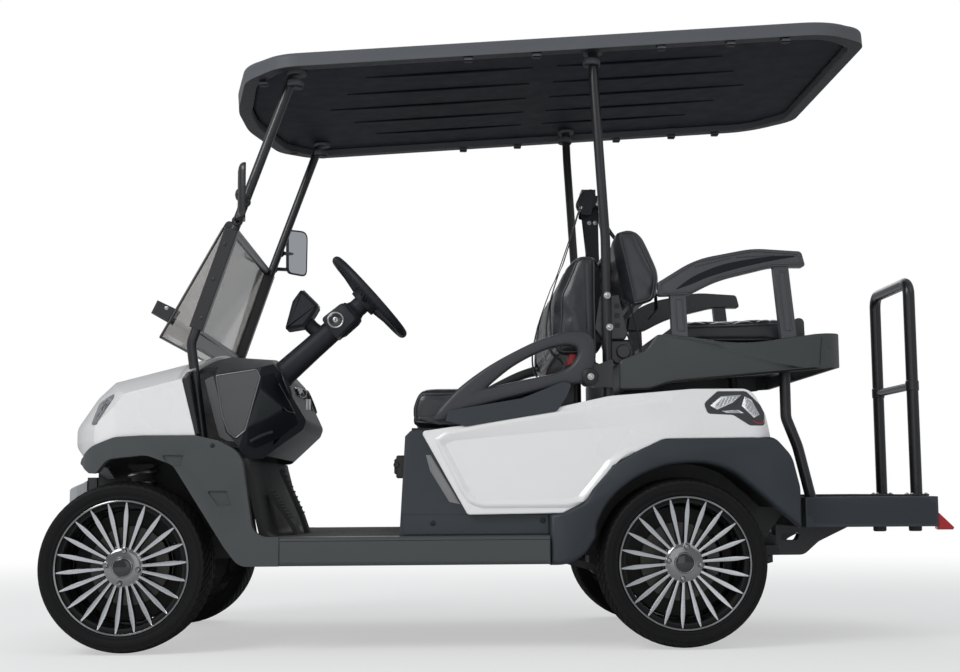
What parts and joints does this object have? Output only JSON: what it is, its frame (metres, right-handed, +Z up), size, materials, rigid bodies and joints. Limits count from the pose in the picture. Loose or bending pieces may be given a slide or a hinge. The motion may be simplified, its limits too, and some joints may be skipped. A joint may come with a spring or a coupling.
{
  "type": "golf cart",
  "caption": "Golf cart with a front bench, a rear-facing bench over a step with a grab bar, a roof on tube struts, a folding windshield and bladed alloy wheels.",
  "frame": {"origin": "centre of the bounding box in plan, on the ground under the tyres", "axes": "+X to the cart's rear, +Y to its right side, +Z up"},
  "size_m": [2.791, 1.2365, 1.9341],
  "materials": {
    "white_panel": "pearl gloss",
    "dark_plastic": "satin",
    "bumper_plastic": "satin pale grey",
    "dash_plastic": "grained",
    "tray_plastic": "semi-gloss",
    "floor_mat": "ribbed",
    "roof_plastic": "satin",
    "black_tube": "satin black",
    "chassis_steel": "matt black",
    "wheel_metal": "machined",
    "tyre": "matt",
    "seat_vinyl": "grained vinyl",
    "windshield": "smoked clear",
    "headlamp_lens": "clear",
    "tail_lamp_lens": "clear red"
  },
  "bodies": {
    "chassis": {"frame_rails": "chassis_steel", "frame_cross_members": "chassis_steel", "front_axle": "chassis_steel", "rear_axle": "chassis_steel", "battery_pack": "dark_plastic", "floor_pan": "floor_mat", "sills": "dark_plastic", "hood_shell": "white_panel", "headlamps": "headlamp_lens", "front_cladding": "dark_plastic", "front_bumper": "bumper_plastic", "dashboard": "dash_plastic", "pedals": "floor_mat", "front_struts": "black_tube", "windshield": "windshield", "mirrors": "dark_plastic", "steering_column": "dash_plastic", "seat_base": "dark_plastic", "rear_body": "white_panel", "tail_lamps": "tail_lamp_lens", "rear_flares": "dark_plastic", "front_seat_back": "seat_vinyl", "rear_struts": "black_tube", "rear_seat_back": "seat_vinyl", "rear_tray": "tray_plastic", "rear_armrests": "tray_plastic", "rear_supports": "black_tube", "rear_step": "tray_plastic", "grab_bar": "black_tube", "roof": "roof_plastic"},
    "knuckle_left": {"knuckle_left": "chassis_steel"},
    "knuckle_right": {"knuckle_right": "chassis_steel"},
    "wheel_front_left": {"tyre_front_left": "tyre", "rim_front_left": "wheel_metal"},
    "wheel_front_right": {"tyre_front_right": "tyre", "rim_front_right": "wheel_metal"},
    "wheel_rear_left": {"tyre_rear_left": "tyre", "rim_rear_left": "wheel_metal"},
    "wheel_rear_right": {"tyre_rear_right": "tyre", "rim_rear_right": "wheel_metal"},
    "steering_wheel": {"steering_wheel": "dash_plastic"},
    "tie_rod": {"tie_rod": "chassis_steel"},
    "front_seat": {"front_seat_cushion": "seat_vinyl", "front_seat_board": "dark_plastic"},
    "rear_seat": {"rear_seat_cushion": "seat_vinyl", "rear_seat_board": "dark_plastic"},
    "hip_restraint_left": {"hip_restraint_left": "tray_plastic"},
    "hip_restraint_right": {"hip_restraint_right": "tray_plastic"}
  },
  "joints": [
    {"name": "steer_left", "type": "hinge", "parent": "chassis", "child": "knuckle_left", "pos_m": [-1.1295, -0.39, 0.2525], "axis": [0, 0, 1], "range_deg": [-30, 30]},
    {"name": "steer_right", "type": "hinge", "parent": "chassis", "child": "knuckle_right", "pos_m": [-1.1295, 0.39, 0.2525], "axis": [0, 0, 1], "range_deg": [-30, 30]},
    {"name": "steering_wheel_turn", "type": "hinge", "parent": "chassis", "child": "steering_wheel", "pos_m": [-0.4185, -0.3, 1.087], "axis": [0.7431, 0, 0.6691], "range_deg": [-450, 450]},
    {"name": "tie_rod_slide", "type": "slide", "parent": "chassis", "child": "tie_rod", "axis": [0, 1, 0], "range_m": [-0.06, 0.06]},
    {"name": "spin_front_left", "type": "hinge", "parent": "knuckle_left", "child": "wheel_front_left", "pos_m": [-1.1295, -0.485, 0.2525], "axis": [0, 1, 0], "continuous": true},
    {"name": "spin_front_right", "type": "hinge", "parent": "knuckle_right", "child": "wheel_front_right", "pos_m": [-1.1295, 0.485, 0.2525], "axis": [0, 1, 0], "continuous": true},
    {"name": "spin_rear_left", "type": "hinge", "parent": "chassis", "child": "wheel_rear_left", "pos_m": [0.5305, -0.485, 0.2525], "axis": [0, 1, 0], "continuous": true},
    {"name": "spin_rear_right", "type": "hinge", "parent": "chassis", "child": "wheel_rear_right", "pos_m": [0.5305, 0.485, 0.2525], "axis": [0, 1, 0], "continuous": true},
    {"name": "front_seat_lift", "type": "hinge", "parent": "chassis", "child": "front_seat", "pos_m": [0.1785, 0, 0.664], "axis": [0, 1, 0], "range_deg": [0, 45]},
    {"name": "rear_seat_flip", "type": "hinge", "parent": "chassis", "child": "rear_seat", "pos_m": [0.9165, 0, 0.978], "axis": [0, 1, 0], "range_deg": [0, 180]},
    {"name": "hip_restraint_left_lift", "type": "hinge", "parent": "chassis", "child": "hip_restraint_left", "pos_m": [0.2565, -0.56, 0.806], "axis": [0, 1, 0], "range_deg": [0, 70]},
    {"name": "hip_restraint_right_lift", "type": "hinge", "parent": "chassis", "child": "hip_restraint_right", "pos_m": [0.2565, 0.56, 0.806], "axis": [0, 1, 0], "range_deg": [0, 70]}
  ],
  "couplings": [
    {"joint": "steer_right", "follows": "steer_left", "ratio": 1},
    {"joint": "steering_wheel_turn", "follows": "steer_left", "ratio": 15},
    {"joint": "tie_rod_slide", "follows": "steer_left", "m_per_rad": 0.1}
  ]
}
